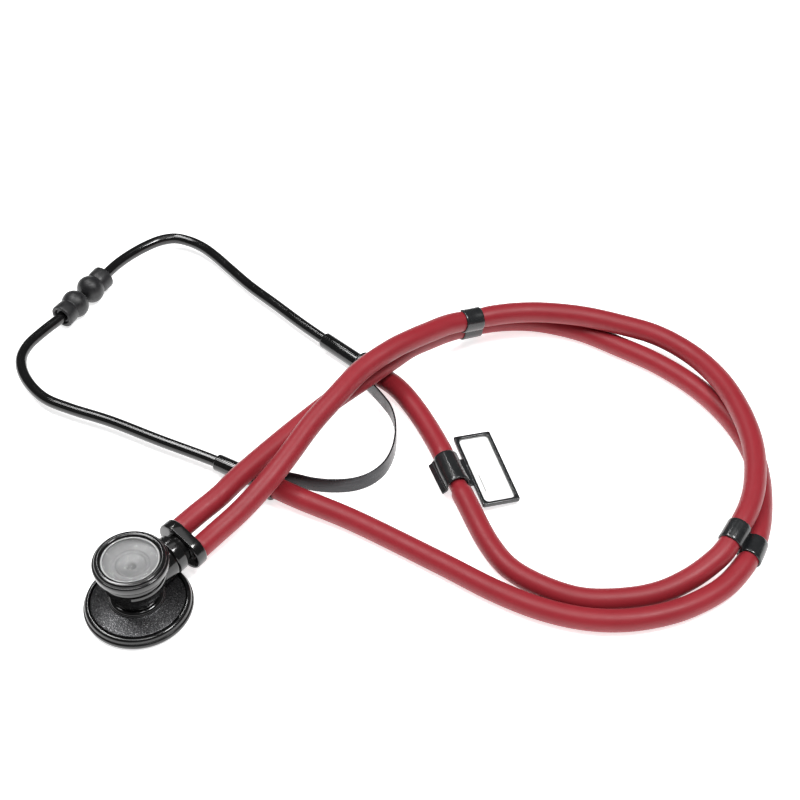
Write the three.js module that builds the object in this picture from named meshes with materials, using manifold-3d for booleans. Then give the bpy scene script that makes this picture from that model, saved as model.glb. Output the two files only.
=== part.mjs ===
// A two-tube stethoscope, laid down with its large diaphragm on the surface it lies on.
// Millimetres, +Z up. The origin is on that surface, under the centre of the large diaphragm.
// Left and right are those of someone looking from the leaf spring towards the eartips.

import * as THREE from "three";
import { mergeVertices } from "three/addons/utils/BufferGeometryUtils.js";
import Module from "manifold-3d";

const wasm = await Module();
wasm.setup();

// Driving dimensions of the head
const gap = 0.3;
const largeRingRadius = 22;
const smallRingRadius = 15.1;
const headHeight = 30.2;
const stemHeight = 13.6;
const stemAzimuth = THREE.MathUtils.degToRad(49);
const stemRoll = THREE.MathUtils.degToRad(20);
const largeDrumTop = 9;
const smallDrumBase = 21.2;
const spigotRadius = 3.4;
const spigotHeight = 0.8;
const soundBore = 1.6;

// Driving dimensions of the stem, the manifold and the nipples
const shaftRadius = 3.2;
const shaftGrooveRadius = 2.4;
const shaftEnd = -5;
const bossRadius = 7.7;
const bossEnd = 17;
const barrelRadius = 8;
const neckStart = 22.2;
const neckRadius = 6.4;
const manifoldStart = 24.4;
const manifoldLength = 22.6;
const manifoldWidth = 14.8;
const manifoldThickness = 5;
const manifoldEnd = manifoldStart + manifoldThickness;
const nipplePitch = 11.2;
const nippleRadius = 2.3;
const nippleLength = 10;

// Driving dimensions of the tubing and what is clipped on it
const tubeRadius = 4.45;
const tubeBoreRadius = 2.8;
const clipWall = 1;
const clipInner = tubeRadius + gap;
const clipPitch = 10.3;
const clipWidth = 10;
const tagLength = 40.9;
const tagWidth = 16.4;
const tagThickness = 2;
const tagSleeveLength = 17;

// Driving dimensions of the binaurals
const earTubeRadius = 2.4;
const earTubeBore = 1.6;
const ferruleRadius = 3.7;
const ferruleLength = 30.7;
const collarRadius = 5.9;
const collarStart = 22.5;
const collarEnd = 31;
const barbEnd = 40.5;
const binauralHeight = 6;
const springThickness = 0.8;
const springHeight = 8;
const eartipLength = 16.8;
const eartipHeight = 6.4;

const point = (x, y, z = 0) => new THREE.Vector3(x, y, z);

const colours = {
  blackLacquer: { color: 0x0d0d0e, roughness: 0.22, metalness: 0.6 },
  blackCasting: { color: 0x141415, roughness: 0.5, metalness: 0.5 },
  steel: { color: 0xb9bcc0, roughness: 0.3, metalness: 1 },
  burgundyRubber: { color: 0x9c2433, roughness: 0.5, metalness: 0 },
  blackPlastic: { color: 0x151718, roughness: 0.35, metalness: 0 },
  blackRubber: { color: 0x1b1b1c, roughness: 0.7, metalness: 0 },
  clearPlastic: { color: 0xd9dcdc, roughness: 0.1, metalness: 0, transparent: true, opacity: 0.5 },
  greyDiaphragm: { color: 0x8d9090, roughness: 0.4, metalness: 0 },
  card: { color: 0xf4f3ee, roughness: 0.8, metalness: 0 },
};

const stethoscope = new THREE.Group();

function addPart(name, geometry, colour, parent = stethoscope) {
  const mesh = new THREE.Mesh(geometry, new THREE.MeshStandardMaterial(colours[colour]));
  mesh.name = name;
  parent.add(mesh);
  return mesh;
}

// A closed geometry as a solid that can be joined and cut.
function solid(geometry) {
  const bare = geometry.clone();
  bare.deleteAttribute("normal");
  bare.deleteAttribute("uv");
  const merged = mergeVertices(bare, 1e-4);
  const corners = merged.index.array;
  const kept = [];
  for (let i = 0; i < corners.length; i += 3) {
    const [a, b, c] = corners.slice(i, i + 3);
    if (a !== b && b !== c && c !== a) kept.push(a, b, c);
  }
  const vertProperties = merged.attributes.position.array;
  const triVerts = Uint32Array.from(kept);
  return new wasm.Manifold(new wasm.Mesh({ numProp: 3, vertProperties, triVerts }));
}

function geometryOf(cutSolid) {
  const mesh = cutSolid.getMesh();
  const geometry = new THREE.BufferGeometry();
  geometry.setAttribute("position", new THREE.BufferAttribute(mesh.vertProperties, 3));
  geometry.setIndex(new THREE.BufferAttribute(mesh.triVerts, 1));
  geometry.computeVertexNormals();
  return geometry;
}

function subtractAll(geometry, cutters) {
  const cut = cutters.reduce((left, cutter) => left.subtract(solid(cutter)), solid(geometry));
  return geometryOf(cut);
}

// A body of revolution about Z, from (radius, height) pairs that run up its outside.
// A ring's outline is closed by repeating its first pair.
function turned(outline, segments) {
  const profile = outline.map(([radius, height]) => new THREE.Vector2(radius, height));
  return new THREE.LatheGeometry(profile, segments).rotateX(Math.PI / 2);
}

function turnedRing(outline, segments) {
  return turned([...outline, outline[0]], segments);
}

// The same about X, with heights read as distances along X.
function turnedAlongX(outline, segments) {
  return turned(outline, segments).rotateY(Math.PI / 2);
}

function turnedRingAlongX(outline, segments) {
  return turnedAlongX([...outline, outline[0]], segments);
}

function uprightPin(radius, bottom, top, segments = 12) {
  return turned([[0, bottom], [radius, bottom], [radius, top], [0, top]], segments);
}

function pinAlongX(radius, start, end, segments = 12) {
  return turnedAlongX([[0, start], [radius, start], [radius, end], [0, end]], segments);
}

// Points of an arc as [radius, height] pairs about a centre in the same half plane.
function arc(centreRadius, centreHeight, size, fromDegrees, toDegrees, steps) {
  return Array.from({ length: steps + 1 }, (_, i) => {
    const angle = THREE.MathUtils.degToRad(fromDegrees + ((toDegrees - fromDegrees) * i) / steps);
    return [centreRadius + size * Math.cos(angle), centreHeight + size * Math.sin(angle)];
  });
}

// ---- Head: two drums screwed on a turning hub ----

const head = new THREE.Group();
stethoscope.add(head);

function largeSide() {
  const rim = largeRingRadius;
  const wall = rim - 2.8;
  const ring = [
    [17.9, 0], [rim - 1.1, 0], [rim - 0.3, 0.7], [rim, 1.8], [rim - 0.2, 2.7],
    [rim - 0.8, 3.1], [rim - 0.7, 3.6], [rim - 0.9, 4.5], [rim - 1.6, 5.1],
    [wall + 0.3, 5.1], [wall, 4.7], [wall, 0.6], [17.9, 0.6],
  ];
  const drum = [
    [2, 4.9], [10, 4.4], [16.8, 3.2], [17.4, 2.4], [wall - gap, 2.4],
    [wall - gap, 4.9], [11, 6.9], [10.9, 8.1], [10.2, 8.8], [9.2, largeDrumTop],
    [spigotRadius, largeDrumTop], [spigotRadius, largeDrumTop + spigotHeight],
    [2, largeDrumTop + spigotHeight],
  ];
  const diaphragm = [[0, 0.85], [17.6, 0.85], [17.6, 0.95], [18.9, 0.95], [18.9, 1.35], [0, 1.35]];
  addPart("large_diaphragm_ring", turnedRing(ring, 28), "blackLacquer", head);
  addPart("large_drum", turnedRing(drum, 24), "blackCasting", head);
  addPart("large_diaphragm", turned(diaphragm, 24), "greyDiaphragm", head);
  const gasket = [[17.5, 1.6], [18.9, 1.6], [18.9, 2.1], [17.5, 2.1]];
  addPart("large_gasket", turnedRing(gasket, 20), "blackRubber", head);
}

function smallSide() {
  const rim = smallRingRadius;
  const top = headHeight;
  const wall = rim - 1.9;
  const ring = [
    [wall, 24.9], [rim - 0.7, 24.9], [rim - 0.3, 25.4], [rim, 27.4], [rim, 28.4],
    [rim - 0.4, 28.9], [rim - 0.9, 29], [rim - 1, 29.5], [rim - 1.5, top - 0.2],
    [12.5, top], [11.7, top - 0.3], [11.5, top - 0.9], [wall, top - 0.9],
  ];
  const drum = [
    [soundBore, smallDrumBase - spigotHeight], [spigotRadius, smallDrumBase - spigotHeight],
    [spigotRadius, smallDrumBase], [11.4, smallDrumBase], [12, 22], [wall - gap, 24.4],
    [wall - gap, 27.3], [11.7, 27.3], [11.2, 26.2], [6.8, 24.2], [6.2, 23.2], [soundBore, 22.8],
  ];
  const diaphragm = [[0, 28.5], [12.9, 28.5], [12.9, 28.9], [11.1, 28.9], [11.1, 29], [0, 29]];
  addPart("small_diaphragm_ring", turnedRing(ring, 24), "blackLacquer", head);
  addPart("small_drum", turnedRing(drum, 20), "blackLacquer", head);
  addPart("small_diaphragm", turned(diaphragm, 20), "clearPlastic", head);
  const gasket = [[11.8, 27.6], [12.9, 27.6], [12.9, 28.2], [11.8, 28.2]];
  addPart("small_gasket", turnedRing(gasket, 16), "blackRubber", head);
}

// The hub is bored across for the stem and upwards and downwards for the sound. Its far side is cut flat,
// its mouth holds the snap ring, and two dimples over and under the stem's end are its click stops.
function valveHub() {
  const bottom = largeDrumTop + gap;
  const top = smallDrumBase - gap;
  const facetDistance = 9.9;
  const body = turned(
    [[0, bottom], [9.6, bottom], [10, 10.4], [12.6, 16.6], [12.8, 18.6], [12, top], [0, top]],
    24,
  );
  const boss = pinAlongX(bossRadius, 4, bossEnd, 18).translate(0, 0, stemHeight);
  const facet = new THREE.BoxGeometry(10, 40, 40).translate(-facetDistance - 5, 0, stemHeight);
  const dimple = (side) => {
    const sphere = new THREE.SphereGeometry(1.2, 6, 4);
    return sphere.translate(shaftEnd + 1.9, 0, stemHeight + side * (shaftRadius + gap - 0.3));
  };
  const overLargeDrum = turned(
    [[0, 0], [22.4, 0], [22.4, 4.4], [11.3, 7.2], [11.3, bottom], [0, bottom]], 24,
  );
  const whole = solid(body).add(solid(boss));
  const cutters = [
    facet,
    overLargeDrum,
    uprightPin(13.3, top, headHeight, 20),
    pinAlongX(shaftRadius + gap, shaftEnd - gap, 20, 14).translate(0, 0, stemHeight),
    pinAlongX(4.5, 11.2, 12.4, 14).translate(0, 0, stemHeight),
    uprightPin(soundBore, bottom - 1, top + 1, 8),
    uprightPin(spigotRadius + gap, bottom - 1, largeDrumTop + spigotHeight + gap, 14),
    uprightPin(spigotRadius + gap, smallDrumBase - spigotHeight - gap, top + 1, 14),
    dimple(1),
    dimple(-1),
  ];
  const cut = cutters.reduce((left, cutter) => left.subtract(solid(cutter)), whole);
  const hub = addPart("valve_hub", geometryOf(cut), "blackLacquer", head);
  hub.rotation.z = stemAzimuth;
}

// ---- Stem: turns in the hub and carries the manifold for the two tubes ----

const stemFrame = new THREE.Group();
stemFrame.position.set(0, 0, stemHeight);
stemFrame.rotation.set(stemRoll, 0, stemAzimuth, "ZYX");
stethoscope.add(stemFrame);

function valveStem() {
  const end = manifoldStart - gap;
  const body = turnedAlongX(
    [
      [0, shaftEnd], [2.8, shaftEnd], [shaftRadius, shaftEnd + 0.4], [shaftRadius, 11.2],
      [shaftGrooveRadius, 11.2], [shaftGrooveRadius, 12.4], [shaftRadius, 12.4], [shaftRadius, bossEnd + gap],
      [barrelRadius - 0.4, bossEnd + gap], [barrelRadius, bossEnd + gap + 0.4],
      [barrelRadius, neckStart - 0.4], [barrelRadius - 0.4, neckStart],
      [neckRadius, neckStart], [neckRadius, end], [0, end],
    ],
    16,
  );
  const port = uprightPin(1.4, -8, 0, 8);
  const detentHole = uprightPin(1.4, -1.7, 8, 8).translate(shaftEnd + 1.9, 0, 0);
  const bored = subtractAll(body, [pinAlongX(soundBore, -1.4, 40, 8), port, detentHole]);
  addPart("valve_stem", bored, "blackLacquer", stemFrame);
}

// A ball pressed outwards by a small coil spring, both in the stem's end.
function detent() {
  const ball = new THREE.SphereGeometry(1.1, 8, 6).translate(shaftEnd + 1.9, 0, shaftRadius - 1.1);
  const coil = turnedRing([[0.6, -1.4], [1.1, -1.4], [1.1, 0.7], [0.6, 0.7]], 8);
  addPart("detent_ball", ball, "steel", stemFrame);
  addPart("detent_spring", coil.translate(shaftEnd + 1.9, 0, 0), "steel", stemFrame);
}

function snapRing() {
  const halfGap = 0.45;
  const outline = new THREE.Shape();
  outline.absarc(0, 0, 4.1, halfGap, 2 * Math.PI - halfGap, false);
  outline.absarc(0, 0, shaftGrooveRadius + gap, 2 * Math.PI - halfGap, halfGap, true);
  const plate = new THREE.ExtrudeGeometry(outline, { depth: 0.6, bevelEnabled: false, curveSegments: 7 });
  addPart("stem_snap_ring", plate.rotateY(Math.PI / 2).translate(11.5, 0, 0), "steel", stemFrame);
}

// An outline with two round ends, its long way along Y.
function stadium(length, width) {
  const radius = width / 2;
  const reach = length / 2 - radius;
  const outline = new THREE.Shape();
  outline.absarc(0, reach, radius, 0, Math.PI, false);
  outline.absarc(0, -reach, radius, Math.PI, 2 * Math.PI, false);
  return outline;
}

// The oval plate turns the stem's one bore into two, and holds a nipple for each tube.
function tubeManifold() {
  const chamfer = 1.2;
  const outline = stadium(manifoldLength - 2 * chamfer, manifoldWidth - 2 * chamfer);
  const blank = new THREE.ExtrudeGeometry(outline, {
    depth: manifoldThickness,
    bevelEnabled: true,
    bevelThickness: chamfer,
    bevelSize: chamfer,
    bevelSegments: 1,
    curveSegments: 7,
  });
  blank.rotateY(Math.PI / 2).translate(manifoldStart + chamfer, 0, 0);
  const outside = new THREE.BoxGeometry(10, 40, 40).translate(manifoldEnd + 5, 0, 0);
  const chamber = new THREE.BoxGeometry(2.4, nipplePitch, 3.2).translate(manifoldStart + 0.6, 0, 0);
  const nippleHoles = [-nipplePitch / 2, nipplePitch / 2].flatMap((y) => [
    pinAlongX(nippleRadius + gap, manifoldStart + 2.2, manifoldEnd + 1, 10).translate(0, y, 0),
    pinAlongX(1.4, manifoldStart + 1, manifoldEnd, 8).translate(0, y, 0),
  ]);
  addPart("tube_manifold", subtractAll(blank, [outside, chamber, ...nippleHoles]), "blackLacquer", stemFrame);
}

function nipple(name, side) {
  const root = manifoldStart + 2.5;
  const end = manifoldEnd + gap + nippleLength - 1;
  const barb = nippleRadius + 0.2;
  const outline = [
    [1.4, root], [nippleRadius, root], [nippleRadius, end - 5], [barb, end - 4.6],
    [nippleRadius, end - 2.6], [barb, end - 2.2], [nippleRadius - 0.3, end], [1.4, end],
  ];
  const turnedNipple = turnedRingAlongX(outline, 10).translate(0, (side * nipplePitch) / 2, 0);
  addPart(name, turnedNipple, "blackLacquer", stemFrame);
}

// ---- Binaurals: a bent ear tube, its ferrule and spring collar, and an eartip, on each side ----

// Each ferrule's outer end and the direction from it towards the rubber tube.
const leftFerruleStart = point(27, 72.2, binauralHeight);
const leftFerruleDirection = point(0.848, -0.53).normalize();
const rightFerruleStart = point(73, 144.8, binauralHeight);
const rightFerruleDirection = point(0.707, -0.707).normalize();

// The eartips lie on one line, tip to tip.
const tipsMeet = point(-39.7, 179, eartipHeight);
const tipLine = point(0.523, 0.852).normalize();

const along = (start, direction, distance) => start.clone().addScaledVector(direction, distance);

const leftEartipStart = along(tipsMeet, tipLine, -eartipLength - 0.4);
const rightEartipStart = along(tipsMeet, tipLine, eartipLength + 0.4);

// A group whose X runs from a start in a level direction.
function levelFrame(start, direction) {
  const frame = new THREE.Group();
  frame.position.copy(start);
  frame.rotation.z = Math.atan2(direction.y, direction.x);
  stethoscope.add(frame);
  return frame;
}

function circle(radius, sides, turn = 0) {
  return Array.from({ length: sides }, (_, i) => {
    const angle = turn + (2 * Math.PI * i) / sides;
    return new THREE.Vector2(radius * Math.cos(angle), radius * Math.sin(angle));
  });
}

const smoothCurve = (points) => new THREE.CatmullRomCurve3(points, false, "centripetal");

function earTube(name, ferruleStart, ferruleDirection, bend, eartipStart, eartipDirection) {
  const route = smoothCurve([
    along(ferruleStart, ferruleDirection, barbEnd),
    along(ferruleStart, ferruleDirection, 20),
    ferruleStart,
    ...bend,
    eartipStart,
    along(eartipStart, eartipDirection, 8.3),
  ]);
  const section = new THREE.Shape(circle(earTubeRadius, 8));
  section.holes.push(new THREE.Path(circle(earTubeBore, 5)));
  const tube = new THREE.ExtrudeGeometry(section, { steps: 22, extrudePath: route, bevelEnabled: false });
  addPart(name, tube, "blackLacquer");
}

const leftBend = [
  point(2.8, 85.2, 6), point(-19.8, 97.8, 6), point(-38, 106.2, 6), point(-49.5, 112.8, 6.1),
  point(-57.3, 121.8, 6.2), point(-62, 131.3, 6.3), point(-63.2, 139.5, 6.4), point(-61.2, 147.2, 6.4),
  point(-55.6, 155.8, 6.4),
];
const rightBend = [
  point(61.6, 156.7, 6), point(49.9, 169.8, 6), point(37.8, 183.1, 6), point(28, 195.6, 6),
  point(20.4, 205.3, 6.1), point(14.4, 211.8, 6.1), point(7.9, 216.4, 6.2), point(0.5, 219, 6.3),
  point(-6.5, 217.6, 6.4), point(-13.4, 213.4, 6.4), point(-20.1, 207.6, 6.4), point(-26, 200.9, 6.4),
];

function binaural(side, ferruleStart, ferruleDirection, bend, eartipStart, eartipDirection) {
  earTube(`${side}_ear_tube`, ferruleStart, ferruleDirection, bend, eartipStart, eartipDirection);

  const sleeveFrame = levelFrame(ferruleStart, ferruleDirection);
  const inner = earTubeRadius + gap;
  const ferrule = [
    [inner, 0], [ferruleRadius - 0.4, 0], [ferruleRadius, 0.5], [ferruleRadius, ferruleLength - 0.5],
    [ferruleRadius - 0.4, ferruleLength], [inner, ferruleLength],
  ];
  const collar = [
    [ferruleRadius + gap, collarStart], [collarRadius - 0.5, collarStart], [collarRadius, collarStart + 0.6],
    [collarRadius, collarEnd - 0.6], [collarRadius - 0.5, collarEnd], [ferruleRadius + gap, collarEnd],
  ];
  addPart(`${side}_ferrule`, turnedRingAlongX(ferrule, 12), "blackLacquer", sleeveFrame);
  addPart(`${side}_spring_collar`, turnedRingAlongX(collar, 14), "blackLacquer", sleeveFrame);

  const tipFrame = levelFrame(eartipStart, eartipDirection);
  const insert = [[inner, 1], [3.3, 1], [3.6, 1.3], [3.6, 8.7], [inner, 8.7]];
  const bulb = arc(0, eartipLength - 6.1, 6.1, -32, 75, 6);
  const eartip = [
    [3.9, 0.4], [4.3, 0], [5, 0], [5.3, 0.4], [5.3, 6.2], [5, 6.9], ...bulb,
    [1.3, eartipLength], [1.3, 9], [3.9, 9],
  ];
  addPart(`${side}_tip_insert`, turnedRingAlongX(insert, 10), "steel", tipFrame);
  addPart(`${side}_eartip`, turnedRingAlongX(eartip, 14), "blackRubber", tipFrame);
}

// The leaf spring is a strap on edge, bent to a U between the two collars.
function leafSpring() {
  const offset = collarRadius + gap + springThickness / 2;
  const leftInward = point(-leftFerruleDirection.y, leftFerruleDirection.x);
  const rightInward = point(rightFerruleDirection.y, -rightFerruleDirection.x);
  const beside = (start, direction, inward, distance) =>
    along(start, direction, distance).addScaledVector(inward, offset).setZ(0);
  const route = smoothCurve([
    beside(leftFerruleStart, leftFerruleDirection, leftInward, collarStart + 0.5),
    beside(leftFerruleStart, leftFerruleDirection, leftInward, collarEnd),
    point(62.5, 59.4), point(69.5, 57), point(78.2, 55.8), point(86, 56.4), point(92.6, 59.2),
    point(98.4, 64.8), point(102, 72.6), point(103.6, 81), point(103.7, 90), point(101.8, 98.6),
    point(97.9, 106.2), point(94.2, 112.2),
    beside(rightFerruleStart, rightFerruleDirection, rightInward, collarEnd),
    beside(rightFerruleStart, rightFerruleDirection, rightInward, collarStart + 0.5),
  ]);
  const steps = 36;
  const middle = route.getPoints(steps);
  const side = (sign) =>
    middle.map((place, i) => {
      const tangent = route.getTangent(i / steps);
      const reach = (sign * springThickness) / 2;
      return new THREE.Vector2(place.x - reach * tangent.y, place.y + reach * tangent.x);
    });
  const outline = new THREE.Shape([...side(-1), ...side(1).reverse()]);
  const strap = new THREE.ExtrudeGeometry(outline, { depth: springHeight, bevelEnabled: false });
  addPart("leaf_spring", strap.translate(0, 0, binauralHeight - springHeight / 2), "blackLacquer");
}

// ---- Tubing ----

// The frames of the two double clips: the middle of each tube in the clip, and the way the tubes run.
const upperClip = {
  left: point(138, 147.1, 9), right: point(139.5, 142.2, 18), run: point(0.93, 0.36, -0.1),
  openTowards: -1.9,
};
const lowerClip = {
  left: point(245, 13.3, 5.7), right: point(238, 17.4, 11.9), run: point(-0.52, -0.85, -0.05),
  openTowards: 1.5,
};
const tagClip = { centre: point(126.8, 60.6, 6), run: point(0.316, -0.949).normalize() };

const leftTubeEnd = along(leftFerruleStart, leftFerruleDirection, collarEnd + gap);
const rightTubeEnd = along(rightFerruleStart, rightFerruleDirection, collarEnd + gap);

// Each tube leaves the manifold beside the other, and they cross twice on the way to the ferrules.
const leftRoute = [
  point(15.5, 25.9, 15.5), point(22.1, 33.4, 15.7), point(31.2, 42.8, 16.3), point(39.4, 53.2, 16.8),
  point(51.8, 67.6, 17), point(64.2, 81.4, 17), point(76.8, 94.7, 17), point(89.6, 106.5, 17),
  point(102.9, 119.1, 16.8), point(111.3, 127.3, 16.2), point(119.7, 134.5, 14), point(129, 142.4, 11),
  upperClip.left, point(149, 151.2, 7.6), point(160, 153.4, 6), point(171, 153, 5),
  point(188.5, 146.8, 4.6), point(205.5, 135.5, 4.6), point(220, 124.8, 4.6), point(233.2, 111.6, 4.6),
  point(242.6, 98.4, 4.6), point(250, 83, 4.6), point(254.2, 67.2, 4.6), point(254.6, 52, 4.6),
  point(252.6, 36.8, 5), point(249.6, 24.6, 5.6), lowerClip.left, point(240.8, 6.8, 5.4),
  point(233, -2, 4.8), point(224, -8.4, 4.6), point(210.5, -14.6, 4.6), point(193, -18, 4.6),
  point(176.5, -17, 4.6), point(160, -11.8, 4.6), point(143, -2.6, 4.6), point(120, 13.8, 4.6),
  point(84.5, 38.2, 4.7), point(64, 49.1, 5.9), leftTubeEnd,
];
const rightRoute = [
  point(23.5, 19, 11.7), point(30, 26.5, 12), point(39.6, 35.9, 14.2), point(49, 46, 17.6),
  point(58.4, 58.4, 21), point(69, 75, 24), point(79.5, 89, 26), point(90.1, 103.2, 26.8),
  point(103, 115.2, 26.8), point(111, 121.8, 25.7), point(119.4, 128.8, 23.6), point(129, 136.6, 20.8),
  upperClip.right, point(150, 146.1, 16.7), point(160, 148.4, 15.6), point(171, 149, 14.8),
  point(189, 146, 14.4), point(206.3, 141.2, 12.8), point(221.3, 135, 11.6), point(235.2, 121.6, 11.8),
  point(245, 103, 13.4), point(250.4, 83, 14.4), point(252.4, 64, 14.5), point(250.6, 46, 14),
  point(246.2, 31.6, 13.2), lowerClip.right, point(232.4, 9.8, 10.2), point(225.8, 4.4, 8.6),
  point(217.4, -0.8, 7), point(206, -5.4, 5.4), point(192.5, -7.5, 4.6), point(174.5, -6.6, 4.6),
  point(159, 0.6, 4.6), point(147.6, 10, 4.6), point(140.4, 22.4, 4.6), point(131.5, 47, 5.7),
  tagClip.centre, point(121.5, 78.5, 5.6), point(112, 101.2, 5.5), point(104.6, 113.2, 6), rightTubeEnd,
];

const alongRoute = (points, radius) => {
  const section = new THREE.Shape(circle(radius, 10, Math.PI / 10));
  const extrudePath = smoothCurve(points);
  return new THREE.ExtrudeGeometry(section, { steps: 40, extrudePath, bevelEnabled: false });
};

// The room each tube takes in a clip.
const leftTubeSpace = alongRoute(leftRoute, clipInner);
const rightTubeSpace = alongRoute(rightRoute, clipInner);

// A blind bore at each end takes the nipple and the ear tube's barb.
function rubberTube(name, points, nippleDirection, ferruleDirection, barbLength) {
  const bore = (end, direction, length) => {
    const pin = pinAlongX(tubeBoreRadius, -1, length, 10).rotateZ(Math.atan2(direction.y, direction.x));
    return pin.translate(end.x, end.y, end.z);
  };
  const start = bore(points[0], nippleDirection, nippleLength);
  const finish = bore(points[points.length - 1], ferruleDirection, barbLength);
  addPart(name, subtractAll(alongRoute(points, tubeRadius), [start, finish]), "burgundyRubber");
}

// One open ring of a clip, as an outline about the origin, open towards the given angle.
function openRing(inner, outer, openTowards, halfOpening) {
  const outline = new THREE.Shape();
  const from = openTowards + halfOpening;
  const to = openTowards + 2 * Math.PI - halfOpening;
  outline.absarc(0, 0, outer, from, to, false);
  outline.absarc(0, 0, inner, to, from, true);
  return outline;
}

function extruded(outline, depth, curveSegments = 9) {
  const geometry = new THREE.ExtrudeGeometry(outline, { depth, bevelEnabled: false, curveSegments });
  return geometry.translate(0, 0, -depth / 2);
}

// Two open rings joined side by side. X runs from the left tube to the right tube, Z along the tubes.
function doubleClip(name, { left, right, run, openTowards }) {
  const outer = clipInner + clipWall;
  const ring = (x) => {
    const outline = openRing(tubeRadius - 0.5, outer, openTowards, 0.75);
    return extruded(outline, clipWidth).translate(x, 0, 0);
  };
  const across = right.clone().sub(left).normalize();
  const lengthways = run.clone().addScaledVector(across, -run.dot(across)).normalize();
  const third = new THREE.Vector3().crossVectors(lengthways, across);
  const placed = new THREE.Matrix4().makeBasis(across, third, lengthways);
  placed.setPosition(left.clone().add(right).multiplyScalar(0.5));
  const rings = [-clipPitch / 2, clipPitch / 2].map((x) => solid(ring(x).applyMatrix4(placed)));
  const pair = rings[0].add(rings[1]).subtract(solid(leftTubeSpace)).subtract(solid(rightTubeSpace));
  addPart(name, geometryOf(pair), "blackPlastic");
}

// ---- Name tag: an open sleeve that snaps on the right tube, with a flat frame beside it ----

function roundedRectangle(length, width, radius) {
  const x = length / 2;
  const y = width / 2;
  const outline = new THREE.Shape();
  outline.absarc(x - radius, y - radius, radius, 0, Math.PI / 2, false);
  outline.absarc(-x + radius, y - radius, radius, Math.PI / 2, Math.PI, false);
  outline.absarc(-x + radius, -y + radius, radius, Math.PI, 1.5 * Math.PI, false);
  outline.absarc(x - radius, -y + radius, radius, 1.5 * Math.PI, 2 * Math.PI, false);
  return outline;
}

// X runs along the tube and Y from it towards the flat frame, which slopes down to the surface.
function nameTag() {
  const tag = levelFrame(tagClip.centre, tagClip.run);
  const border = 1.6;
  const outer = clipInner + 1.2;
  const floor = 0.5;
  const pocketLength = tagLength - 2 * border;
  const pocketWidth = tagWidth - 2 * border;

  const sleeve = extruded(openRing(tubeRadius - 0.5, outer, Math.PI + 0.55, 0.75), tagSleeveLength, 9);
  sleeve.rotateY(Math.PI / 2).rotateX(Math.PI / 2);
  const web = new THREE.BoxGeometry(tagSleeveLength - 2, 2.8, 1.4).translate(0, outer + 0.7, -1.8);
  const slope = new THREE.Matrix4().makeRotationFromEuler(new THREE.Euler(-0.087, 0, -0.056, "ZYX"));
  slope.setPosition(0.2, 15.4, -2.7);
  const frame = extruded(roundedRectangle(tagLength, tagWidth, 0.8), tagThickness, 3).applyMatrix4(slope);
  const pocket = extruded(roundedRectangle(pocketLength, pocketWidth, 2), tagThickness, 4);
  pocket.translate(0, 0, floor).applyMatrix4(slope);
  const { x, y, z } = tagClip.centre;
  const tubeSpace = alongRoute(rightRoute, clipInner + 0.2).translate(-x, -y, -z).rotateZ(-tag.rotation.z);
  const holder = [frame, web].reduce((joined, piece) => joined.add(solid(piece)), solid(sleeve));
  const cut = [pocket, tubeSpace].reduce((left, cutter) => left.subtract(solid(cutter)), holder);
  addPart("name_tag_holder", geometryOf(cut), "blackPlastic", tag);

  const insertOutline = roundedRectangle(pocketLength - 2 * gap, pocketWidth - 2 * gap, 1.8);
  const cardMiddle = -tagThickness / 2 + floor + 0.3;
  const card = extruded(insertOutline, 0.3, 4).translate(0, 0, cardMiddle).applyMatrix4(slope);
  const cover = extruded(insertOutline, 0.5, 4).translate(0, 0, cardMiddle + 0.6).applyMatrix4(slope);
  addPart("name_card", card, "card", tag);
  addPart("name_window", cover, "clearPlastic", tag);
}

largeSide();
smallSide();
valveHub();
valveStem();
detent();
snapRing();
tubeManifold();
nipple("left_nipple", 1);
nipple("right_nipple", -1);
binaural("left", leftFerruleStart, leftFerruleDirection, leftBend, leftEartipStart, tipLine);
binaural(
  "right", rightFerruleStart, rightFerruleDirection, rightBend, rightEartipStart, tipLine.clone().negate(),
);
leafSpring();
const stemDirection = point(Math.cos(stemAzimuth), Math.sin(stemAzimuth));
rubberTube("left_tube", leftRoute, stemDirection, leftFerruleDirection, barbEnd - collarEnd + 1);
rubberTube("right_tube", rightRoute, stemDirection, rightFerruleDirection, barbEnd - collarEnd + 1);
doubleClip("upper_tube_clip", upperClip);
doubleClip("lower_tube_clip", lowerClip);
nameTag();

export default stethoscope;
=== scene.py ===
import math
from math import cos, pi, radians, sin

import bpy
from mathutils import Matrix, Vector


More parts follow.
